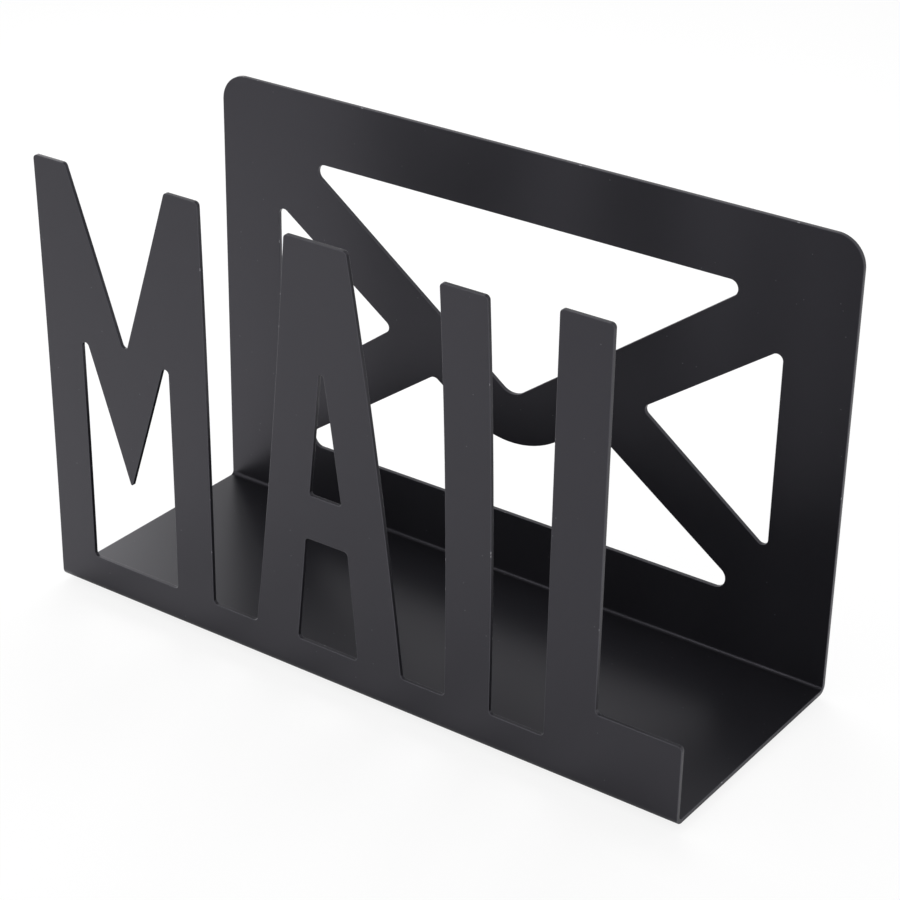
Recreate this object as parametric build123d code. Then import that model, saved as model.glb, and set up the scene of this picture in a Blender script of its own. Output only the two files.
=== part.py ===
from build123d import *
from math import sqrt
import os

# Desk mail holder: one cut and bent steel sheet on four stick-on rubber feet.
# Millimetres, +Z up, the lettered wall towards -Y. The origin is on the desk, under the holder's middle.
# Heights on the two walls are measured from the underside of the sheet.

# Sheet and bends
sheet_thickness = 1.5
bend_radius = 1.5
holder_depth = 93.9
back_height = 159.9
back_corner_radius = 10.0

# Letters of the front wall, which stand on a strip along the bend
letter_height = 157.4
strip_height = 13.3
letter_corner_radius = 1.5
tip_radius = 0.5
window_radius = 1.0

# Letter M: two posts, with a vee hung between them
m_post_width = 15.7
m_inner_width = 37.7
m_notch_width = 41.8
m_notch_depth = 63.2
m_vee_rise = 48.4

# Letter A: two slanted legs and a crossbar
a_foot_width = 59.1
a_top_width = 23.6
a_leg_width = 16.4
a_leg_foot_width = 17.3
a_bar_bottom = 52.2
a_bar_height = 16.1

# Letters I and L: plain bars, the last one with a foot that runs to the end of the sheet
i_width = 17.0
l_stem_width = 18.2
l_foot_reach = 30.4
l_foot_height = 28.5

# How far the letters' tops bow forward of the strip; the last letter stands straight
m_bow = 2.0
a_bow = 5.0
i_bow = 6.0

# Gaps between the letters, at the strip
gap_m_a = 18.7
gap_a_i = 17.0
gap_i_l = 20.5

# Envelope figure of the back wall: four cut-outs that leave a frame, a flap and two seams
figure_side_margin = 24.4
figure_top_margin = 24.4
figure_bottom_margin = 25.7
flap_corner_web = 11.6
flap_drop = 65.1
flap_bar_height = 24.0
flap_side_drop = 18.5
flap_point_radius = 32.0
flap_inner_radius = 6.7
side_apex_offset = 50.7
side_foot_rise = 19.1
bottom_corner_web = 6.3
bottom_peak_offset = 32.6
flap_corner_radius = 2.9
triangle_radius = 2.2
bottom_radius = 3.8
peak_radius = 2.7

# Feet
foot_diameter = 12.0
foot_height = 2.0
foot_rim_radius = 0.5
foot_inset = 15.0

# Sizes that follow from the ones above
m_width = 2 * m_post_width + m_inner_width
a_start = m_width + gap_m_a
i_start = a_start + a_foot_width + gap_a_i
l_start = i_start + i_width + gap_i_l
l_width = l_stem_width + l_foot_reach
holder_width = l_start + l_width
left = -holder_width / 2
right = holder_width / 2
rear = (holder_depth + max(m_bow, a_bow, i_bow)) / 2
front = rear - holder_depth
outer_bend_radius = bend_radius + sheet_thickness
bow_root = strip_height + letter_corner_radius
cut_overrun = sheet_thickness


def polygon(*points):
    """Face with straight sides through the points, in a wall's own plane: along X, then up."""
    return make_face(Polyline(*points, close=True))


def box_face(x_low, x_high, z_low, z_high):
    """Upright rectangle in a wall's own plane."""
    return polygon((x_low, z_low), (x_high, z_low), (x_high, z_high), (x_low, z_high))


def rounded(face, radius, points):
    """Round the corners of a face that lie at the points."""
    corners = [face.vertices().sort_by_distance((x, z))[0] for x, z in points]
    return fillet(corners, radius)


def letter_m():
    """Two posts and a vee; the vee's lower edges run parallel to the notch above it."""
    inner_left = left + m_post_width
    inner_right = inner_left + m_inner_width
    middle = (inner_left + inner_right) / 2
    notch_low = letter_height - m_notch_depth
    tip = notch_low - m_vee_rise
    vee_half = m_notch_width / 2 * (letter_height - tip) / m_notch_depth
    notch_half = m_notch_width / 2
    top = letter_height
    notch = polygon((middle, notch_low), (middle + notch_half, top), (middle - notch_half, top))
    vee = polygon((middle, tip), (middle + vee_half, top), (middle - vee_half, top))
    opening = box_face(inner_left, inner_right, strip_height, top) - vee
    letter = box_face(left, left + m_width, 0, top) - notch - opening
    return letter, (middle, tip)


def letter_a():
    """Trapezoid with a window above the crossbar and a notch between the legs below it."""
    middle = left + a_start + a_foot_width / 2
    foot_half = a_foot_width / 2
    top_half = a_top_width / 2
    lean = (foot_half - top_half) / (letter_height - strip_height)
    bar_top = a_bar_bottom + a_bar_height

    def outer_half(z):
        return foot_half - lean * (z - strip_height)

    window_half = outer_half(bar_top) - a_leg_width
    window_apex = bar_top + window_half / lean
    notch_top_half = outer_half(a_bar_bottom) - a_leg_width
    notch_foot_half = foot_half - a_leg_foot_width
    window_corners = [(middle - window_half, bar_top), (middle + window_half, bar_top), (middle, window_apex)]
    body = polygon((middle - foot_half, strip_height), (middle + foot_half, strip_height),
                   (middle + top_half, letter_height), (middle - top_half, letter_height))
    notch = polygon((middle - notch_foot_half, strip_height), (middle + notch_foot_half, strip_height),
                    (middle + notch_top_half, a_bar_bottom), (middle - notch_top_half, a_bar_bottom))
    return body - notch - polygon(*window_corners), window_corners


def front_wall_face():
    """Outline of the lettered wall, with its corners rounded as the cutter leaves them."""
    m, tip = letter_m()
    a, window_corners = letter_a()
    i = box_face(left + i_start, left + i_start + i_width, strip_height, letter_height)
    l_stem = box_face(left + l_start, left + l_start + l_stem_width, strip_height, letter_height)
    l_foot = box_face(left + l_start, right, 0, l_foot_height)
    face = box_face(left, right, 0, strip_height) + m + a + i + l_stem + l_foot
    sharp = window_corners + [tip]
    plain = [(v.X, v.Y) for v in face.vertices() if v.Y > 0]
    plain = [p for p in plain if all((Vector(*p) - Vector(*s)).length > letter_corner_radius for s in sharp)]
    face = rounded(face, letter_corner_radius, plain)
    face = rounded(face, window_radius, window_corners)
    return rounded(face, tip_radius, [tip])


def figure_cutouts():
    """The four cut-outs of the envelope figure: above the flap, at each side and below the flap."""
    half = right - figure_side_margin
    top = back_height - figure_top_margin
    bottom = figure_bottom_margin
    point = top - flap_drop
    low_point = point - flap_bar_height
    flap_slope = (top - flap_side_drop - low_point) / half

    def flap_edge(x):
        return low_point + flap_slope * abs(x)

    flap_half = half - flap_corner_web
    above = polygon((-flap_half, top), (flap_half, top), (0, point))
    above = rounded(above, flap_corner_radius, [(-flap_half, top), (flap_half, top)])
    above = rounded(above, flap_inner_radius, [(0, point)])

    sides = []
    for way in (-1, 1):
        apex = (way * side_apex_offset, flap_edge(side_apex_offset))
        corners = [(way * half, bottom + side_foot_rise), (way * half, flap_edge(half)), apex]
        sides.append(rounded(polygon(*corners), triangle_radius, corners))

    bottom_half = half - bottom_corner_web
    peak = bottom_peak_offset
    below = polygon((-bottom_half, bottom), (bottom_half, bottom), (peak, flap_edge(peak)), (0, low_point),
                    (-peak, flap_edge(peak)))
    below = rounded(below, bottom_radius, [(-bottom_half, bottom), (bottom_half, bottom)])
    below = rounded(below, peak_radius, [(peak, flap_edge(peak)), (-peak, flap_edge(peak))])
    below = rounded(below, flap_point_radius, [(0, low_point)])
    return [above, *sides, below]


def back_wall_face():
    """Outline of the back wall: rounded top corners and the figure cut out of it."""
    top_corners = [(left, back_height), (right, back_height)]
    face = rounded(box_face(left, right, 0, back_height), back_corner_radius, top_corners)
    for cutout in figure_cutouts():
        face = face - cutout
    return face


def through_wall(face, y_low, y_high):
    """Prism of a wall's face between two depths."""
    plane = Plane((0, y_low, 0), x_dir=(1, 0, 0), z_dir=(0, -1, 0))
    return extrude(plane * face, y_low - y_high)


def wall_waste(face, wall_height, y_low):
    """What is cut from a plain wall, from its depth y_low on, so that the face is left above the bend."""
    blank = box_face(left - cut_overrun, right + cut_overrun, outer_bend_radius, wall_height + cut_overrun)
    return through_wall(blank - face, y_low - cut_overrun, y_low + sheet_thickness + cut_overrun)


def bowed_wall(x_low, x_high, bow):
    """Sheet that curves forward from the letters' roots, by the bow at their tops, and runs on past them."""
    rise = letter_height - bow_root
    radius = (rise ** 2 + bow ** 2) / (2 * bow)
    inner_radius = radius + sheet_thickness
    reach = rise + cut_overrun
    outer_root = (front, bow_root)
    outer_end = (front - radius + sqrt(radius ** 2 - reach ** 2), bow_root + reach)
    inner_root = (front + sheet_thickness, bow_root)
    inner_end = (front - radius + sqrt(inner_radius ** 2 - reach ** 2), bow_root + reach)
    section = make_face([TangentArc(outer_root, outer_end, tangent=(0, 1)), Line(outer_end, inner_end),
                         TangentArc(inner_root, inner_end, tangent=(0, 1)), Line(inner_root, outer_root)])
    return extrude(Plane.YZ.offset(x_low) * section, x_high - x_low)


def bent_blank():
    """Sheet bent into a trough, before anything is cut: front wall, base and back wall."""
    outer = [(front, 0), (rear, 0)]
    inner = [(rear - sheet_thickness, sheet_thickness), (front + sheet_thickness, sheet_thickness)]
    back = [(rear, back_height), (rear - sheet_thickness, back_height)]
    section = polygon((front, letter_height), *outer, *back, *inner, (front + sheet_thickness, letter_height))
    section = rounded(section, outer_bend_radius, outer)
    section = rounded(section, bend_radius, inner)
    return extrude(Plane.YZ.offset(left) * section, holder_width)


def holder_sheet():
    """The finished sheet, lifted onto its feet."""
    lettered = front_wall_face()
    a_from = left + a_start - gap_m_a / 2
    i_from = left + i_start - gap_a_i / 2
    l_from = left + l_start - gap_i_l / 2
    straight = box_face(left, right, 0, bow_root) + box_face(l_from, right, 0, letter_height)
    sheet = bent_blank() - wall_waste(lettered & straight, letter_height, front)
    sheet = sheet - wall_waste(back_wall_face(), back_height, rear - sheet_thickness)
    for x_low, x_high, bow in ((left, a_from, m_bow), (a_from, i_from, a_bow), (i_from, l_from, i_bow)):
        letter = lettered & box_face(x_low, x_high, bow_root, letter_height)
        prism = through_wall(letter, front - bow - cut_overrun, front + sheet_thickness + cut_overrun)
        sheet = sheet + (bowed_wall(x_low, x_high, bow) & prism)
    return Pos(0, 0, foot_height) * sheet


def foot(x_side, y_side):
    """Rubber disc stuck under a corner of the base, its lower rim rounded."""
    disc = Cylinder(foot_diameter / 2, foot_height, align=(Align.CENTER, Align.CENTER, Align.MIN))
    disc = fillet(disc.edges().sort_by(Axis.Z)[0], foot_rim_radius)
    y = rear - foot_inset if y_side > 0 else front + foot_inset
    return Pos(x_side * (right - foot_inset), y, 0) * disc


nodes = {"holder_sheet": holder_sheet()}
for y_name, y_side in (("front", -1), ("rear", 1)):
    for x_name, x_side in (("left", -1), ("right", 1)):
        nodes[f"foot_{y_name}_{x_name}"] = foot(x_side, y_side)

os.makedirs("parts", exist_ok=True)
for name, solid in nodes.items():
    export_step(solid, f"parts/{name}.step")
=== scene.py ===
"""Desk mail holder: one powder-coated steel sheet, cut flat, folded twice and set on four rubber feet.

The sheet is made as the real one is. Its blank is drawn flat with every cut-out, given its thickness and a
coated rim, scored where it will curve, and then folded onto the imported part. The holder's lengths are in
millimetres until MM turns them to metres.
"""
import logging
import math
from dataclasses import dataclass, field
from enum import Enum

import bpy
from mathutils import Matrix, Vector


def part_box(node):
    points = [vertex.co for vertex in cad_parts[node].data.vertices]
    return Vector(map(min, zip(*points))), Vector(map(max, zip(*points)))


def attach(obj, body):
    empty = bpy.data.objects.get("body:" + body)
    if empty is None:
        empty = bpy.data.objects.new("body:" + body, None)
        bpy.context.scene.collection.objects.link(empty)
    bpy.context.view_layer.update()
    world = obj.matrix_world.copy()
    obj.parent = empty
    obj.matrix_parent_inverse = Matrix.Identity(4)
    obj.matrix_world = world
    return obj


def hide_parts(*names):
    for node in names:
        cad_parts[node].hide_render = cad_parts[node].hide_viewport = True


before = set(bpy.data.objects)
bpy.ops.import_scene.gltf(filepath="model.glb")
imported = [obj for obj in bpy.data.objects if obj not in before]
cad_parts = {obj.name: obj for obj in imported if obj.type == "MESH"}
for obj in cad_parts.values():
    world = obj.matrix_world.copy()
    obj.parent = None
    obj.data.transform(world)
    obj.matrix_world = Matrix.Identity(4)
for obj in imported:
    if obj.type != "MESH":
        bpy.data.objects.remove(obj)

MM = 0.001
ROOT_BODY = "root"
WHITE = "#ffffff"

# Steps of a rounded corner: the most that one may leave its arc, the widest turn of one, and the fewest
ARC_SAGITTA = 0.004
ARC_STEP = math.radians(11)
ARC_FEWEST_STEPS = 2

# Sockets of a Mix node that mixes colours
MIX_A = 6
MIX_B = 7
MIX_RESULT = 2

Point = tuple[float, float]
Triple = tuple[float, float, float]
Colour = tuple[float, float, float, float]
Links = dict[str | int, bpy.types.NodeSocket]
Values = dict[str | int, object]
log = logging.getLogger("mail_holder")


class Wall(Enum):
    """The two upright walls of the sheet."""

    FRONT = "front"
    BACK = "back"


class Slot(Enum):
    """The record's material slots."""

    POWDER_COAT = "powder_coat"
    FOOT_RUBBER = "foot_rubber"


class Reach(Enum):
    """What a lamp acts on: everything, only the matt light of surfaces, or only what their sheen mirrors."""

    ALL = "all"
    MATT = "matt"
    SHEEN = "sheen"


def linear(hex_colour: str) -> Colour:
    """Turn an sRGB hex colour into linear light, by the curve of the sRGB standard.

    Args:
        hex_colour: Colour as "#rrggbb".

    Returns:
        Linear red, green and blue with an alpha of 1.
    """
    parts = [int(hex_colour[i:i + 2], 16) / 255 for i in (1, 3, 5)]
    red, green, blue = (c / 12.92 if c <= 0.04045 else ((c + 0.055) / 1.055) ** 2.4 for c in parts)
    return red, green, blue, 1.0


def empty_tree(owner: bpy.types.Material | bpy.types.World) -> bpy.types.NodeTree:
    """Give a material or the world an empty node tree.

    Args:
        owner: The material or the world.

    Returns:
        Its tree.
    """
    owner.use_nodes = True
    owner.node_tree.nodes.clear()
    return owner.node_tree


def add_node(tree: bpy.types.NodeTree, kind: str, links: Links | None = None, inputs: Values | None = None,
             **settings: object) -> bpy.types.Node:
    """Add a node to a tree, with its settings, its fixed inputs and its links.

    Args:
        tree: The tree of a material or of the world.
        kind: Blender's name for the node's class.
        links: Output sockets that feed the node's inputs, by the input's name or number.
        inputs: Fixed values of inputs, by the input's name or number.
        **settings: Attributes of the node itself.

    Returns:
        The new node.
    """
    node = tree.nodes.new(kind)
    for name, value in settings.items():
        setattr(node, name, value)
    for name, value in (inputs or {}).items():
        node.inputs[name].default_value = value
    for name, socket in (links or {}).items():
        tree.links.new(socket, node.inputs[name])
    return node


def deselect_all() -> None:
    """Leave nothing selected and no mesh in edit mode."""
    if bpy.context.object is not None and bpy.context.object.mode != "OBJECT":
        bpy.ops.object.mode_set(mode="OBJECT")
    bpy.ops.object.select_all(action="DESELECT")


def pick(obj: bpy.types.Object) -> None:
    """Make an object the only selected one, and the active one.

    Args:
        obj: The object.
    """
    deselect_all()
    obj.select_set(True)
    bpy.context.view_layer.objects.active = obj


@dataclass(frozen=True)
class Corner:
    """A corner of a cut outline, rounded by the cutter.

    Attributes:
        x: Place along the holder's width.
        v: Height on a wall or, once flattened, place along the blank from the front bend towards the back.
        radius: Radius of the rounding.
    """

    x: float
    v: float
    radius: float


def corners_at(places: list[Point], radius: float) -> list[Corner]:
    """Corners of one radius at a list of places."""
    return [Corner(x, v, radius) for x, v in places]


def rounded_outline(corners: list[Corner]) -> list[Point]:
    """Walk round a closed outline, with an arc at each corner.

    Args:
        corners: The outline's corners, in order.

    Returns:
        Points of the outline.
    """
    points: list[Point] = []
    for before, corner, after in zip(corners[-1:] + corners[:-1], corners, corners[1:] + corners[:1]):
        here = Vector((corner.x, corner.v))
        back = (Vector((before.x, before.v)) - here).normalized()
        ahead = (Vector((after.x, after.v)) - here).normalized()
        half_angle = back.angle(ahead) / 2
        turn = math.pi - 2 * half_angle
        middle = here + (back + ahead).normalized() * (corner.radius / math.sin(half_angle))
        start = here + back * (corner.radius / math.tan(half_angle)) - middle
        way = -math.copysign(1, back.cross(ahead))
        step = min(ARC_STEP, 2 * math.acos(1 - min(ARC_SAGITTA / corner.radius, 1)))
        count = max(ARC_FEWEST_STEPS, math.ceil(turn / step))
        for i in range(count + 1):
            points.append((middle + Matrix.Rotation(way * turn * i / count, 2) @ start).to_tuple())
    return points


@dataclass(frozen=True)
class BowedLetter:
    """A letter that bows forward, with half the gap at each side of it.

    Attributes:
        name: Name of its vertex group while it is bowed.
        low: Place of its left end.
        high: Place of its right end.
        bow: How far its top comes forward.
    """

    name: str
    low: float
    high: float
    bow: float


@dataclass
class LetteredWall:
    """Front wall: a strip along the bend with block letters on it, all but the last bowed forward.

    Heights are measured from the underside of the sheet.
    """

    # The wall and its rounded corners
    height: float = 157.4
    strip_height: float = 13.3
    corner_radius: float = 1.5
    tip_radius: float = 0.5
    window_radius: float = 1.0
    # First letter: two posts, with a vee hung between them
    m_post_width: float = 15.7
    m_inner_width: float = 37.7
    m_notch_width: float = 41.8
    m_notch_depth: float = 63.2
    m_vee_rise: float = 48.4
    # Second letter: two slanted legs and a crossbar
    a_foot_width: float = 59.1
    a_top_width: float = 23.6
    a_leg_width: float = 16.4
    a_leg_foot_width: float = 17.3
    a_bar_bottom: float = 52.2
    a_bar_height: float = 16.1
    # Third and last letters: plain bars, the last with a foot that runs to the wall's end
    i_width: float = 17.0
    l_stem_width: float = 18.2
    l_foot_height: float = 28.5
    # Gaps between the letters, at the strip
    gap_m_a: float = 18.7
    gap_a_i: float = 17.0
    gap_i_l: float = 20.5
    # How far the letters' tops come forward
    m_bow: float = 2.0
    a_bow: float = 5.0
    i_bow: float = 6.0
    # Distance between the scores that let the letters bow smoothly
    score_pitch: float = 4.0

    @property
    def bows(self) -> Triple:
        """How far the tops of the first three letters come forward."""
        return self.m_bow, self.a_bow, self.i_bow

    @property
    def bow_root(self) -> float:
        """Height at which the letters start to bow."""
        return self.strip_height + self.corner_radius

    @property
    def m_width(self) -> float:
        """Width of the first letter."""
        return 2 * self.m_post_width + self.m_inner_width

    @property
    def a_start(self) -> float:
        """Distance of the second letter from the wall's left end."""
        return self.m_width + self.gap_m_a

    @property
    def i_start(self) -> float:
        """Distance of the third letter from the wall's left end."""
        return self.a_start + self.a_foot_width + self.gap_a_i

    @property
    def l_start(self) -> float:
        """Distance of the last letter from the wall's left end."""
        return self.i_start + self.i_width + self.gap_i_l

    @property
    def a_lean(self) -> float:
        """Sideways run of the second letter's legs for each unit of height."""
        return (self.a_foot_width - self.a_top_width) / 2 / (self.height - self.strip_height)

    def a_half_width(self, height: float) -> float:
        """Half the second letter's outer width at a height."""
        return self.a_foot_width / 2 - self.a_lean * (height - self.strip_height)

    def edge(self, left: float, right: float, thickness: float) -> list[Corner]:
        """Upper edge of the wall from its left end to its right, round every letter.

        Args:
            left: Place of the wall's left end.
            right: Place of the wall's right end.
            thickness: Thickness of the sheet.

        Returns:
            Corners with heights as v, before the letters are bowed.
        """
        strip = self.strip_height
        m_middle, m_right = left + self.m_width / 2, left + self.m_width
        notch_half = self.m_notch_width / 2
        a_middle = left + self.a_start + self.a_foot_width / 2
        foot_half, top_half = self.a_foot_width / 2, self.a_top_width / 2
        i_left, l_left = left + self.i_start, left + self.l_start
        i_right, stem_right = i_left + self.i_width, l_left + self.l_stem_width
        m_top, a_top, i_top = (self.bow_root + self.bow_length(bow, thickness) for bow in self.bows)
        places = [
            (left, m_top), (m_middle - notch_half, m_top), (m_middle, m_top - self.m_notch_depth),
            (m_middle + notch_half, m_top), (m_right, m_top), (m_right, strip),
            (a_middle - foot_half, strip), (a_middle - top_half, a_top),
            (a_middle + top_half, a_top), (a_middle + foot_half, strip),
            (i_left, strip), (i_left, i_top), (i_right, i_top), (i_right, strip),
            (l_left, strip), (l_left, self.height), (stem_right, self.height),
            (stem_right, self.l_foot_height), (right, self.l_foot_height),
        ]
        return corners_at(places, self.corner_radius)

    def holes(self, left: float) -> list[list[Corner]]:
        """Closed cut-outs of the wall: under the first letter's vee, and the two in the second letter.

        Args:
            left: Place of the wall's left end.

        Returns:
            Outlines, with heights as v.
        """
        strip = self.strip_height
        inner_left, inner_right = left + self.m_post_width, left + self.m_post_width + self.m_inner_width
        m_middle = (inner_left + inner_right) / 2
        tip = self.height - self.m_notch_depth - self.m_vee_rise
        shoulder = tip + self.m_inner_width * self.m_notch_depth / self.m_notch_width
        under_vee = [
            Corner(inner_left, strip, self.corner_radius),
            Corner(inner_right, strip, self.corner_radius),
            Corner(inner_right, shoulder, self.corner_radius),
            Corner(m_middle, tip, self.tip_radius),
            Corner(inner_left, shoulder, self.corner_radius),
        ]

        a_middle = left + self.a_start + self.a_foot_width / 2
        bar_bottom, bar_top = self.a_bar_bottom, self.a_bar_bottom + self.a_bar_height
        notch_foot = self.a_foot_width / 2 - self.a_leg_foot_width
        notch_top = self.a_half_width(bar_bottom) - self.a_leg_width
        window = self.a_half_width(bar_top) - self.a_leg_width
        notch = [(a_middle - notch_foot, strip), (a_middle + notch_foot, strip),
                 (a_middle + notch_top, bar_bottom), (a_middle - notch_top, bar_bottom)]
        triangle = [(a_middle - window, bar_top), (a_middle + window, bar_top),
                    (a_middle, bar_top + window / self.a_lean)]
        return [under_vee, corners_at(notch, self.corner_radius), corners_at(triangle, self.window_radius)]

    def bow_angle(self, bow: float) -> float:
        """Angle that a letter turns through from its root to its top."""
        return 2 * math.atan(bow / (self.height - self.bow_root))

    def bow_length(self, bow: float, thickness: float) -> float:
        """Length of a letter along the sheet's middle that brings its bowed top level with a straight one.

        Args:
            bow: How far the letter's top comes forward.
            thickness: Thickness of the sheet.

        Returns:
            The length above the letter's root.
        """
        rise, angle = self.height - self.bow_root, self.bow_angle(bow)
        return (rise / math.sin(angle) + thickness / 2) * angle if bow else rise

    def bowed_letters(self, left: float) -> list[BowedLetter]:
        """The letters that bow, which are all but the last.

        Args:
            left: Place of the wall's left end.

        Returns:
            The letters from left to right.
        """
        m_end = left + self.a_start - self.gap_m_a / 2
        a_end = left + self.i_start - self.gap_a_i / 2
        i_end = left + self.l_start - self.gap_i_l / 2
        return [
            BowedLetter("m", left, m_end, self.m_bow),
            BowedLetter("a", m_end, a_end, self.a_bow),
            BowedLetter("i", a_end, i_end, self.i_bow),
        ]

    def score_heights(self) -> list[float]:
        """Heights at which the wall is scored, so that the letters can bow smoothly."""
        count = round((self.height - self.bow_root) / self.score_pitch)
        return [self.bow_root + i * (self.height - self.bow_root) / count for i in range(count)]


@dataclass
class BackWall:
    """Back wall: rounded top corners, and four cut-outs that leave an envelope's frame, flap and seams.

    Heights are measured from the underside of the sheet.
    """

    # The wall and the margins round its figure
    height: float = 159.9
    corner_radius: float = 10.0
    side_margin: float = 24.4
    top_margin: float = 24.4
    bottom_margin: float = 25.7
    # Flap: two slanted bars that meet in a rounded point
    flap_corner_web: float = 11.6
    flap_drop: float = 65.1
    flap_bar_height: float = 24.0
    flap_side_drop: float = 18.5
    flap_point_radius: float = 32.0
    flap_inner_radius: float = 6.7
    flap_corner_radius: float = 2.9
    # Triangles at the sides of the figure
    side_apex_offset: float = 50.7
    side_foot_rise: float = 19.1
    triangle_radius: float = 2.2
    # Cut-out below the flap, with a peak at each side of its point
    bottom_corner_web: float = 6.3
    bottom_peak_offset: float = 32.6
    bottom_radius: float = 3.8
    peak_radius: float = 2.7

    def edge(self, left: float, right: float) -> list[Corner]:
        """Upper edge of the wall, from its right end to its left, with heights as v."""
        return corners_at([(right, self.height), (left, self.height)], self.corner_radius)

    def holes(self, left: float, right: float) -> list[list[Corner]]:
        """The figure's cut-outs: above the flap, at both sides and below the flap.

        Args:
            left: Place of the wall's left end.
            right: Place of the wall's right end.

        Returns:
            Outlines, with heights as v.
        """
        middle, half = (left + right) / 2, (right - left) / 2 - self.side_margin
        top, bottom = self.height - self.top_margin, self.bottom_margin
        point = top - self.flap_drop
        low_point = point - self.flap_bar_height
        slope = (top - self.flap_side_drop - low_point) / half
        flap_half = half - self.flap_corner_web
        above = [
            Corner(middle - flap_half, top, self.flap_corner_radius),
            Corner(middle, point, self.flap_inner_radius),
            Corner(middle + flap_half, top, self.flap_corner_radius),
        ]

        apex = self.side_apex_offset
        triangle = [(half, bottom + self.side_foot_rise), (half, low_point + slope * half),
                    (apex, low_point + slope * apex)]
        sides = [corners_at([(middle + way * x, height) for x, height in triangle], self.triangle_radius)
                 for way in (-1, 1)]

        bottom_half, peak = half - self.bottom_corner_web, self.bottom_peak_offset
        peak_height = low_point + slope * peak
        below = [
            Corner(middle - bottom_half, bottom, self.bottom_radius),
            Corner(middle + bottom_half, bottom, self.bottom_radius),
            Corner(middle + peak, peak_height, self.peak_radius),
            Corner(middle, low_point, self.flap_point_radius),
            Corner(middle - peak, peak_height, self.peak_radius),
        ]
        return [above, *sides, below]


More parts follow.
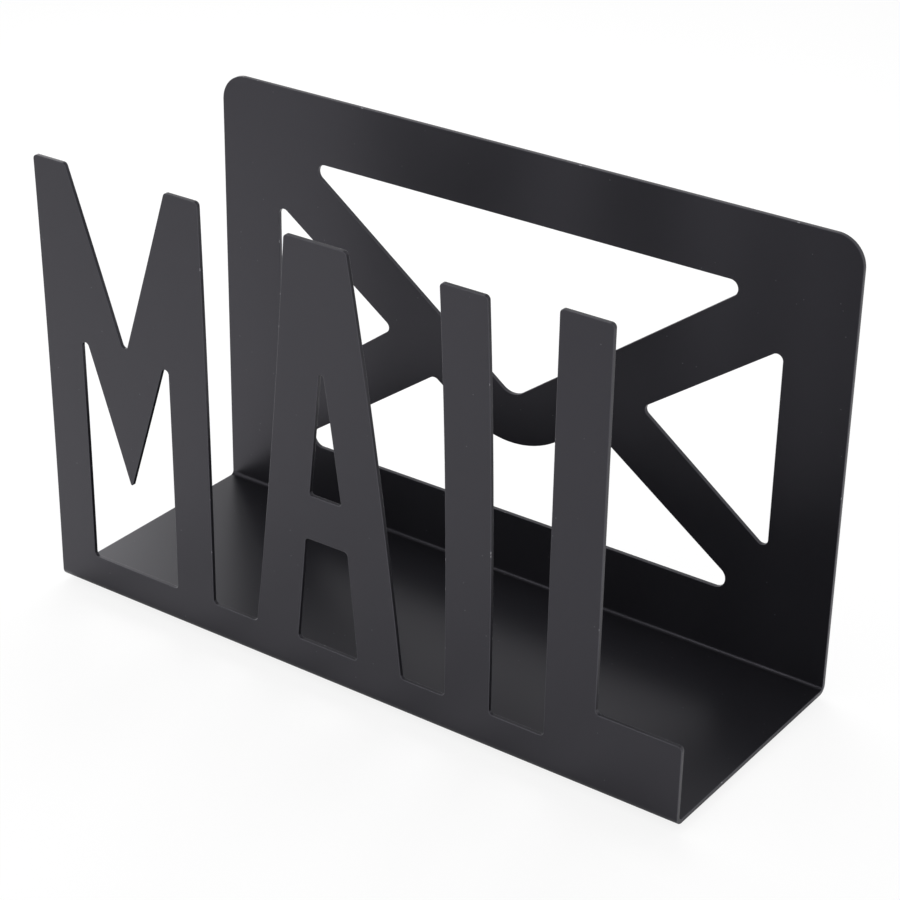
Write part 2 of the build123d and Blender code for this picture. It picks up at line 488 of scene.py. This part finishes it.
@dataclass(frozen=True)
class PowderCoat:
    """Satin black polyester powder coat, sprayed as dry powder onto steel and baked.

    It gives the eye a deep black with a soft, broad sheen, a faint orange peel and a few caught specks of
    dust. The melting powder draws back from the rims of cut edges, so it is thin and greyer there; the rims
    are also lightened as a painted highlight, and dotted with light points that are painted glints and read
    as wear.

    Attributes:
        name: Name of the material.
        skin: Colour of the coat at its thickest.
        skin_thin: Colour of the coat at its thinnest, away from the rims.
        sheen: Tint of what the coat mirrors.
        dust: Colour of a speck of dust.
        rim: Colour of a rim: the thin, greyer coat, lightened as a painted highlight.
        glint_worn: Colour of a light point on a rim, a painted glint that also reads as worn coat.
        roughness_smooth: Roughness where the coat flowed out well.
        roughness_dull: Roughness where it flowed out least.
        ior: Index of refraction of the resin.
        cloud_mm: Width of the slow changes of colour and gloss.
        cloud_detail: Octaves of those changes.
        cloud_roughness: Share that each octave has of the one before.
        peel_mm: Width of the orange peel's dimples.
        peel_detail: Octaves of the orange peel.
        peel_depth_mm: Depth of the orange peel.
        dust_spacing_mm: Distance between specks in space, few of which fall on the sheet.
        dust_radius_mm: Radius of a speck.
        glint_spacing_mm: Distance between painted glints in space, few of which fall on a rim.
        glint_radius_mm: Radius of a painted glint.
        rim_attribute: Face attribute that is 1 on the rims.
    """

    name: str = "satin_black_powder_coat"
    skin: str = "#141417"
    skin_thin: str = "#17171a"
    sheen: str = "#f3efff"
    dust: str = "#4a4a4e"
    rim: str = "#3a3a3e"
    glint_worn: str = "#86868a"
    roughness_smooth: float = 0.31
    roughness_dull: float = 0.35
    ior: float = 1.5
    cloud_mm: float = 30.0
    cloud_detail: float = 4.0
    cloud_roughness: float = 0.55
    peel_mm: float = 0.8
    peel_detail: float = 2.0
    peel_depth_mm: float = 0.004
    dust_spacing_mm: float = 5.5
    dust_radius_mm: float = 0.22
    glint_spacing_mm: float = 4.0
    glint_radius_mm: float = 0.5
    rim_attribute: str = "thin_coat_and_highlight"

    def material(self) -> bpy.types.Material:
        """Make the coat's material.

        Returns:
            A node material on Object coordinates.
        """
        material = bpy.data.materials.new(self.name)
        tree = empty_tree(material)
        place = add_node(tree, "ShaderNodeTexCoord").outputs["Object"]
        cloud = add_node(tree, "ShaderNodeTexNoise", {"Vector": place},
                         {"Scale": 1 / (self.cloud_mm * MM), "Detail": self.cloud_detail,
                          "Roughness": self.cloud_roughness}).outputs["Fac"]
        skin = add_node(tree, "ShaderNodeMix", {"Factor": cloud},
                        {MIX_A: linear(self.skin), MIX_B: linear(self.skin_thin)}, data_type="RGBA")
        roughness = add_node(tree, "ShaderNodeMapRange", {"Value": cloud},
                             {"To Min": self.roughness_smooth, "To Max": self.roughness_dull})

        dust = add_node(tree, "ShaderNodeTexVoronoi", {"Vector": place},
                        {"Scale": 1 / (self.dust_spacing_mm * MM)})
        speck = add_node(tree, "ShaderNodeMath", {0: dust.outputs["Distance"]},
                         {1: self.dust_radius_mm / self.dust_spacing_mm}, operation="LESS_THAN")
        dusted = add_node(tree, "ShaderNodeMix",
                          {"Factor": speck.outputs[0], MIX_A: skin.outputs[MIX_RESULT]},
                          {MIX_B: linear(self.dust)}, data_type="RGBA")

        # Rims: greyer for the thin coat, and lighter as a painted highlight along the edges
        rim = add_node(tree, "ShaderNodeAttribute", attribute_name=self.rim_attribute).outputs["Fac"]
        thin = add_node(tree, "ShaderNodeMix", {"Factor": rim, MIX_A: dusted.outputs[MIX_RESULT]},
                        {MIX_B: linear(self.rim)}, data_type="RGBA")
        # Light points on the rims: painted glints, which also read as worn coat
        glint_cells = add_node(tree, "ShaderNodeTexVoronoi", {"Vector": place},
                        {"Scale": 1 / (self.glint_spacing_mm * MM)})
        point = add_node(tree, "ShaderNodeMath", {0: glint_cells.outputs["Distance"]},
                         {1: self.glint_radius_mm / self.glint_spacing_mm}, operation="LESS_THAN")
        glint_on_rim = add_node(tree, "ShaderNodeMath", {0: point.outputs[0], 1: rim}, operation="MULTIPLY")
        colour = add_node(tree, "ShaderNodeMix",
                          {"Factor": glint_on_rim.outputs[0], MIX_A: thin.outputs[MIX_RESULT]},
                          {MIX_B: linear(self.glint_worn)}, data_type="RGBA")

        peel = add_node(tree, "ShaderNodeTexNoise", {"Vector": place},
                        {"Scale": 1 / (self.peel_mm * MM), "Detail": self.peel_detail})
        bump = add_node(tree, "ShaderNodeBump", {"Height": peel.outputs["Fac"]},
                        {"Strength": 1.0, "Distance": self.peel_depth_mm * MM})
        shader = add_node(tree, "ShaderNodeBsdfPrincipled",
                          {"Base Color": colour.outputs[MIX_RESULT], "Roughness": roughness.outputs[0],
                           "Normal": bump.outputs[0]},
                          {"IOR": self.ior, "Specular Tint": linear(self.sheen)})
        add_node(tree, "ShaderNodeOutputMaterial", {"Surface": shader.outputs[0]})
        return material


@dataclass(frozen=True)
class FootRubber:
    """Moulded black nitrile rubber.

    It gives the eye a dull black, greyed in patches by its own bloom, with a grain from the mould. The grain
    is drawn coarser than a real mould's, so that it shows.

    Attributes:
        name: Name of the material.
        dark: Colour of clean rubber.
        bloom: Colour where the bloom is strongest.
        roughness: Roughness all over.
        ior: Index of refraction of the rubber.
        grain_mm: Width of the mould's grain.
        grain_detail: Octaves of the grain.
        grain_depth_mm: Depth of the grain.
        bloom_mm: Width of the patches of bloom.
        bloom_detail: Octaves of the patches.
    """

    name: str = "moulded_black_rubber"
    dark: str = "#161616"
    bloom: str = "#242425"
    roughness: float = 0.75
    ior: float = 1.52
    grain_mm: float = 0.35
    grain_detail: float = 2.0
    grain_depth_mm: float = 0.03
    bloom_mm: float = 4.0
    bloom_detail: float = 3.0

    def material(self) -> bpy.types.Material:
        """Make the rubber's material.

        Returns:
            A node material on Object coordinates.
        """
        material = bpy.data.materials.new(self.name)
        tree = empty_tree(material)
        place = add_node(tree, "ShaderNodeTexCoord").outputs["Object"]
        bloom = add_node(tree, "ShaderNodeTexNoise", {"Vector": place},
                         {"Scale": 1 / (self.bloom_mm * MM), "Detail": self.bloom_detail})
        colour = add_node(tree, "ShaderNodeMix", {"Factor": bloom.outputs["Fac"]},
                          {MIX_A: linear(self.dark), MIX_B: linear(self.bloom)}, data_type="RGBA")
        grain = add_node(tree, "ShaderNodeTexNoise", {"Vector": place},
                         {"Scale": 1 / (self.grain_mm * MM), "Detail": self.grain_detail})
        bump = add_node(tree, "ShaderNodeBump", {"Height": grain.outputs["Fac"]},
                        {"Strength": 1.0, "Distance": self.grain_depth_mm * MM})
        shader = add_node(tree, "ShaderNodeBsdfPrincipled",
                          {"Base Color": colour.outputs[MIX_RESULT], "Normal": bump.outputs[0]},
                          {"Roughness": self.roughness, "IOR": self.ior})
        add_node(tree, "ShaderNodeOutputMaterial", {"Surface": shader.outputs[0]})
        return material


@dataclass(frozen=True)
class BendLine:
    """A line across the sheet where a curl starts.

    Attributes:
        place: A point of the line, on the middle of the sheet's thickness.
        turn: Turn in degrees that points Z along the sheet, away from the line, and Y the way that it curls.
    """

    place: Triple
    turn: Triple


@dataclass
class HolderSheet:
    """The steel sheet: a blank with two walls' outlines, folded up at two bends.

    Attributes:
        node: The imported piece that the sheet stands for.
        name: Name of the finished piece.
        thickness: Thickness of the coated sheet.
        bend_radius: Radius of a bend's inner face.
        rim_radius: Radius that the coat gives to the rims of cut edges.
        rim_steps: Faces across a rim.
        bend_steps: Faces along a bend.
        smooth_angle: Angle in degrees up to which neighbouring faces are shaded as one.
        flat_weight: How strongly large faces keep their own shading.
        merge_gap: Distance within which points of the blank are one.
        score_gap: Distance within which a score uses a point that is there already.
        slant_margin: How far a rim's normal is, at least, from lying flat and from standing upright.
        front_wall: The lettered wall.
        back_wall: The wall with the envelope figure.
        coat: The finish.
        left: Place of the left end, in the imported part's frame like the next four.
        right: Place of the right end.
        front: Place of the front wall's outer face below the letters.
        rear: Place of the back wall's outer face.
        underside: Height of the base's underside.
    """

    node: str = "holder_sheet"
    name: str = "folded_sheet"
    thickness: float = 1.5
    bend_radius: float = 1.5
    rim_radius: float = 0.2
    rim_steps: int = 4
    bend_steps: int = 12
    smooth_angle: float = 40.0
    flat_weight: int = 100
    merge_gap: float = 0.001
    score_gap: float = 0.0005
    slant_margin: float = 0.01
    front_wall: LetteredWall = field(default_factory=LetteredWall)
    back_wall: BackWall = field(default_factory=BackWall)
    coat: PowderCoat = field(default_factory=PowderCoat)
    left: float = field(init=False)
    right: float = field(init=False)
    front: float = field(init=False)
    rear: float = field(init=False)
    underside: float = field(init=False)

    def __post_init__(self) -> None:
        """Take the sheet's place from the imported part."""
        low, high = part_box(self.node)
        self.left, self.right = low.x / MM, high.x / MM
        self.front, self.rear = low.y / MM + max(self.front_wall.bows), high.y / MM
        self.underside = low.z / MM

    @property
    def outer_radius(self) -> float:
        """Radius of a bend's outer face."""
        return self.bend_radius + self.thickness

    @property
    def middle(self) -> float:
        """Height of the middle of the base's thickness."""
        return self.underside + self.thickness / 2

    @property
    def bend_length(self) -> float:
        """Length of a bend along the middle of the sheet."""
        return math.pi / 2 * (self.bend_radius + self.thickness / 2)

    @property
    def base_length(self) -> float:
        """Flat length of the base between the bends."""
        return self.rear - self.front - 2 * self.outer_radius

    def along(self, wall: Wall, height: float) -> float:
        """Place along the blank of a height on a wall."""
        reach = self.bend_length + height - self.outer_radius
        return -reach if wall is Wall.FRONT else self.base_length + reach

    def flatten(self, wall: Wall, corners: list[Corner]) -> list[Corner]:
        """Lay a wall's corners out on the blank."""
        return [Corner(c.x, self.along(wall, c.v), c.radius) for c in corners]

    def outlines(self) -> list[list[Point]]:
        """Draw the outline of the blank and of each cut-out.

        Returns:
            Closed rows of points, the blank's own first.
        """
        rim = self.flatten(Wall.FRONT, self.front_wall.edge(self.left, self.right, self.thickness))
        rim += self.flatten(Wall.BACK, self.back_wall.edge(self.left, self.right))
        holes = [self.flatten(Wall.FRONT, hole) for hole in self.front_wall.holes(self.left)]
        holes += [self.flatten(Wall.BACK, hole) for hole in self.back_wall.holes(self.left, self.right)]
        return [rounded_outline(corners) for corners in (rim, *holes)]

    def cut_blank(self) -> bpy.types.Object:
        """Cut the flat blank from the sheet, its rims rounded by the coat.

        Returns:
            A flat mesh that lies where the base of the holder is.
        """
        deselect_all()
        curve = bpy.data.curves.new(self.name, "CURVE")
        curve.dimensions = "2D"
        curve.fill_mode = "BOTH"
        curve.extrude = (self.thickness / 2 - self.rim_radius) * MM
        curve.bevel_depth = self.rim_radius * MM
        curve.offset = -self.rim_radius * MM
        curve.bevel_resolution = self.rim_steps - 1
        for outline in self.outlines():
            spline = curve.splines.new("POLY")
            spline.points.add(len(outline) - 1)
            for point, (x, v) in zip(spline.points, outline):
                point.co = (x * MM, v * MM, 0, 1)
            spline.use_cyclic_u = True
        blank = bpy.data.objects.new(self.name, curve)
        bpy.context.scene.collection.objects.link(blank)
        pick(blank)
        bpy.ops.object.convert(target="MESH")
        bpy.ops.object.mode_set(mode="EDIT")
        bpy.ops.mesh.select_all(action="SELECT")
        bpy.ops.mesh.remove_doubles(threshold=self.merge_gap * MM)
        bpy.ops.transform.translate(value=(0, (self.front + self.outer_radius) * MM, self.middle * MM))
        bpy.ops.mesh.normals_make_consistent(inside=False)
        bpy.ops.object.mode_set(mode="OBJECT")
        return blank

    def score(self, blank: bpy.types.Object) -> None:
        """Divide the blank across its width wherever it will curve.

        Args:
            blank: The flat mesh.
        """
        steps = [self.bend_length * i / self.bend_steps for i in range(self.bend_steps + 1)]
        lines = [-step for step in steps] + [self.base_length + step for step in steps]
        lines += [self.along(Wall.FRONT, height) for height in self.front_wall.score_heights()]
        pick(blank)
        bpy.ops.object.mode_set(mode="EDIT")
        for v in lines:
            bpy.ops.mesh.select_all(action="SELECT")
            place = (0, (self.front + self.outer_radius + v) * MM, 0)
            bpy.ops.mesh.bisect(plane_co=place, plane_no=(0, 1, 0), threshold=self.score_gap * MM)
        bpy.ops.object.mode_set(mode="OBJECT")

    def mark_rims(self, blank: bpy.types.Object) -> None:
        """Mark the rounded rims of the cut edges, where the coat is thin and a highlight is painted.

        Args:
            blank: The flat mesh, whose rims alone slant.
        """
        rim = blank.data.attributes.new(self.coat.rim_attribute, "FLOAT", "FACE")
        for face in blank.data.polygons:
            slants = self.slant_margin < abs(face.normal.z) < 1 - self.slant_margin
            rim.data[face.index].value = float(slants)

    def curl(self, sheet: bpy.types.Object, line: BendLine, angle: float, length: float,
             group: str = "") -> None:
        """Curl the sheet beyond a line, as a bending tool does, and leave the rest straight.

        Args:
            sheet: The sheet's mesh.
            line: Where the curl starts.
            angle: Angle of the whole curl.
            length: Length of the sheet that curls.
            group: Vertex group that it is kept to, or none.
        """
        deselect_all()
        turn = [math.radians(degrees) for degrees in line.turn]
        bpy.ops.object.empty_add(location=Vector(line.place) * MM, rotation=turn)
        origin = bpy.context.object
        bpy.context.view_layer.update()
        reach = [(origin.matrix_world.inverted() @ vertex.co).z for vertex in sheet.data.vertices]
        low, span = min(reach), max(reach) - min(reach)
        bend = sheet.modifiers.new("curl", "SIMPLE_DEFORM")
        bend.deform_method = "BEND"
        bend.deform_axis = "X"
        bend.origin = origin
        bend.angle = angle
        bend.limits = (-low / span, (length * MM - low) / span)
        bend.vertex_group = group
        pick(sheet)
        bpy.ops.object.modifier_apply(modifier=bend.name)
        pick(origin)
        bpy.ops.object.delete()

    def fold(self, sheet: bpy.types.Object) -> None:
        """Fold the blank up at its two bends.

        Args:
            sheet: The scored flat mesh.
        """
        back_line = BendLine((0, self.rear - self.outer_radius, self.middle), (90, 0, 180))
        front_line = BendLine((0, self.front + self.outer_radius, self.middle), (90, 0, 0))
        for line in (back_line, front_line):
            self.curl(sheet, line, math.pi / 2, self.bend_length)

    def bow(self, sheet: bpy.types.Object) -> None:
        """Bow the letters forward.

        Args:
            sheet: The folded mesh.
        """
        wall = self.front_wall
        root = self.underside + wall.bow_root
        line = BendLine((0, self.front + self.thickness / 2, root), (0, 0, 180))
        for letter in wall.bowed_letters(self.left):
            above = [vertex for vertex in sheet.data.vertices if vertex.co.z / MM >= root and vertex.co.y < 0]
            own = [vertex.index for vertex in above if letter.low <= vertex.co.x / MM <= letter.high]
            group = sheet.vertex_groups.new(name=letter.name)
            group.add(own, 1.0, "REPLACE")
            length = wall.bow_length(letter.bow, self.thickness)
            self.curl(sheet, line, wall.bow_angle(letter.bow), length, group.name)
        sheet.vertex_groups.clear()

    def smooth(self, sheet: bpy.types.Object) -> None:
        """Shade the bends and rims round and keep the flats flat.

        Args:
            sheet: The folded mesh.
        """
        pick(sheet)
        bpy.ops.object.shade_smooth_by_angle(angle=math.radians(self.smooth_angle))
        weighted = sheet.modifiers.new("flat_faces", "WEIGHTED_NORMAL")
        weighted.mode = "FACE_AREA"
        weighted.weight = self.flat_weight
        weighted.keep_sharp = True
        bpy.ops.object.modifier_apply(modifier=weighted.name)

    def dress(self, sheet: bpy.types.Object) -> None:
        """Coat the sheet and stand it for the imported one.

        Args:
            sheet: The finished mesh.
        """
        sheet.data.materials.clear()
        sheet.data.materials.append(self.coat.material())
        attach(sheet, ROOT_BODY)
        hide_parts(self.node)

    def build(self) -> bpy.types.Object:
        """Make the sheet from its blank to its coat.

        Returns:
            The finished piece.
        """
        sheet = self.cut_blank()
        self.score(sheet)
        self.mark_rims(sheet)
        self.fold(sheet)
        self.bow(sheet)
        self.smooth(sheet)
        self.dress(sheet)
        return sheet


@dataclass
class Feet:
    """Four stick-on rubber feet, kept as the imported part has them.

    Attributes:
        prefix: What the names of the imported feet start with.
        rubber: The finish.
    """

    prefix: str = "foot_"
    rubber: FootRubber = field(default_factory=FootRubber)

    def dress(self) -> list[bpy.types.Object]:
        """Give each foot its rubber.

        Returns:
            The feet.
        """
        feet = [obj for name, obj in sorted(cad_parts.items()) if name.startswith(self.prefix)]
        rubber = self.rubber.material()
        for foot in feet:
            foot.data.materials.clear()
            foot.data.materials.append(rubber)
        return feet


@dataclass(frozen=True)
class WhiteTable:
    """Matt white laminate of a photographer's table.

    It gives the eye plain white, and darkens only a little where the holder shades it.

    Attributes:
        name: Name of the material.
        white: Colour of the laminate.
        camera_share: Share of plain white in what the camera sees of it, the rest being its lit colour.
    """

    name: str = "white_table"
    white: str = "#fafafa"
    camera_share: float = 0.85

    def material(self) -> bpy.types.Material:
        """Make the table's material.

        Returns:
            A node material that is the same all over.
        """
        material = bpy.data.materials.new(self.name)
        tree = empty_tree(material)
        paths = add_node(tree, "ShaderNodeLightPath").outputs
        matt = add_node(tree, "ShaderNodeBsdfDiffuse", inputs={"Color": linear(self.white)})
        glow = add_node(tree, "ShaderNodeEmission", inputs={"Color": linear(WHITE), "Strength": 1.0})
        share = add_node(tree, "ShaderNodeMath", {0: paths["Is Camera Ray"]}, {1: self.camera_share},
                         operation="MULTIPLY")
        mixed = add_node(tree, "ShaderNodeMixShader",
                         {0: share.outputs[0], 1: matt.outputs[0], 2: glow.outputs[0]})
        add_node(tree, "ShaderNodeOutputMaterial", {"Surface": mixed.outputs[0]})
        return material


@dataclass(frozen=True)
class Softbox:
    """Square cloth-fronted lamp on a stand.

    Attributes:
        name: What the lamp does.
        place: Where it stands, in metres.
        aim: The point it faces, in metres.
        size: Length of a side, in metres.
        watts: Its power.
        reach: What it acts on.
    """

    name: str
    place: Triple
    aim: Triple
    size: float
    watts: float
    reach: Reach = Reach.ALL

    def build(self) -> bpy.types.Object:
        """Set the lamp up.

        Returns:
            The lamp.
        """
        deselect_all()
        bpy.ops.object.light_add(type="AREA", location=self.place)
        lamp = bpy.context.object
        lamp.name = self.name
        lamp.data.shape = "SQUARE"
        lamp.data.size = self.size
        lamp.data.energy = self.watts
        lamp.visible_glossy = self.reach is not Reach.MATT
        lamp.visible_diffuse = self.reach is not Reach.SHEEN
        lamp.rotation_euler = (Vector(self.aim) - Vector(self.place)).to_track_quat("-Z", "Y").to_euler()
        return lamp


@dataclass
class Studio:
    """White table and surround under soft light, with the photograph's viewpoint.

    Attributes:
        azimuth: Angle in degrees of the camera round the holder, from straight in front of the letters.
        elevation: Angle in degrees at which the camera looks down.
        roll: Turn in degrees of the camera about its own line of sight.
        eye_mm: Place of the camera.
        lens: The camera's focal length on Blender's own sensor.
        table: Finish of the table.
        table_size: Length of a side of the table, in metres.
        dome: Strength of the surround as light on matt surfaces.
        sky: Strength of the surround where a sheen mirrors it.
        ceiling: Strength of the dim ceiling where a sheen mirrors it.
        ceiling_towards: Direction of the ceiling's middle.
        ceiling_edge: Dot product of a direction with that one where the ceiling starts, and where it is full.
        lamps: The lamps.
    """

    azimuth: float = 35.042
    elevation: float = 27.315
    roll: float = 1.019
    eye_mm: Triple = (423.33, -591.26, 448.16)
    lens: float = 100.627
    table: WhiteTable = field(default_factory=WhiteTable)
    table_size: float = 6.0
    dome: float = 0.75
    sky: float = 1.0
    ceiling: float = 0.3
    ceiling_towards: Triple = (-0.25, -0.30, 0.92)
    ceiling_edge: tuple[float, float] = (0.10, 0.80)
    lamps: tuple[Softbox, ...] = (
        Softbox("overhead", (-0.22, 0.33, 0.68), (-0.10, -0.15, 0.0), 0.4, 2.6, Reach.MATT),
        Softbox("left_fill", (-0.45, 0.15, 0.35), (-0.12, -0.05, 0.0), 0.3, 0.64, Reach.MATT),
        Softbox("back_left", (-0.52, 0.30, 0.27), (-0.09, 0.0, 0.0), 0.15, 0.185, Reach.SHEEN),
        Softbox("front_left", (-0.37, -0.72, 0.58), (0.0, 0.0, 0.08), 0.5, 0.9),
        Softbox("rim_light", (-0.37, -0.71, 0.62), (0.0, 0.0, 0.08), 0.5, 1.5, Reach.SHEEN),
    )

    def camera(self) -> bpy.types.Object:
        """Set up the camera at the photograph's viewpoint.

        Returns:
            The camera.
        """
        data = bpy.data.cameras.new("viewpoint")
        data.lens = self.lens
        camera = bpy.data.objects.new("viewpoint", data)
        bpy.context.scene.collection.objects.link(camera)
        azimuth, elevation = math.radians(self.azimuth), math.radians(self.elevation)
        back = Vector((math.sin(azimuth) * math.cos(elevation), -math.cos(azimuth) * math.cos(elevation),
                       math.sin(elevation)))
        turn = (-back).to_track_quat("-Z", "Y").to_matrix() @ Matrix.Rotation(math.radians(self.roll), 3, "Z")
        camera.matrix_world = Matrix.Translation(Vector(self.eye_mm) * MM) @ turn.to_4x4()
        bpy.context.scene.camera = camera
        return camera

    def floor(self) -> bpy.types.Object:
        """Lay the table top under the holder.

        Returns:
            The table top.
        """
        deselect_all()
        bpy.ops.mesh.primitive_plane_add(size=self.table_size, location=(0, 0, 0))
        floor = bpy.context.object
        floor.name = "table_top"
        floor.data.materials.append(self.table.material())
        return floor

    def surround(self) -> None:
        """Surround the table with white, which a sheen mirrors with a ceiling dim towards the front."""
        world = bpy.data.worlds.new("white_surround")
        tree = empty_tree(world)
        paths = add_node(tree, "ShaderNodeLightPath").outputs
        way = add_node(tree, "ShaderNodeTexCoord").outputs["Generated"]
        overhead = add_node(tree, "ShaderNodeVectorMath", {0: way}, {1: self.ceiling_towards},
                            operation="DOT_PRODUCT")
        edge_start, edge_end = self.ceiling_edge
        shade = add_node(tree, "ShaderNodeMapRange", {"Value": overhead.outputs["Value"]},
                         {"From Min": edge_start, "From Max": edge_end, "To Min": self.sky,
                          "To Max": self.ceiling}, interpolation_type="SMOOTHSTEP")
        light = add_node(tree, "ShaderNodeBackground", inputs={"Color": linear(WHITE), "Strength": self.dome})
        mirrored = add_node(tree, "ShaderNodeBackground", {"Strength": shade.outputs[0]},
                            {"Color": linear(WHITE)})
        white = add_node(tree, "ShaderNodeBackground", inputs={"Color": linear(WHITE), "Strength": 1.0})
        unseen = add_node(tree, "ShaderNodeMixShader",
                          {0: paths["Is Glossy Ray"], 1: light.outputs[0], 2: mirrored.outputs[0]})
        seen = add_node(tree, "ShaderNodeMath", {0: paths["Is Camera Ray"], 1: paths["Is Transmission Ray"]},
                        operation="MAXIMUM")
        mixed = add_node(tree, "ShaderNodeMixShader",
                         {0: seen.outputs[0], 1: unseen.outputs[0], 2: white.outputs[0]})
        add_node(tree, "ShaderNodeOutputWorld", {"Surface": mixed.outputs[0]})
        bpy.context.scene.world = world

    def build(self) -> None:
        """Set up the table, the surround, the lamps and the camera."""
        self.floor()
        self.surround()
        for lamp in self.lamps:
            lamp.build()
        self.camera()
        bpy.context.scene.view_settings.view_transform = "Standard"


def main() -> None:
    """Build the holder and its studio."""
    logging.basicConfig(level=logging.INFO, format="%(name)s: %(message)s")
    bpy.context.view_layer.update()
    Studio().build()
    sheet = HolderSheet().build()
    log.info("%s: %d faces", sheet.name, len(sheet.data.polygons))
    for foot in Feet().dress():
        log.info("%s: dressed", foot.name)


if __name__ == "__main__":
    main()
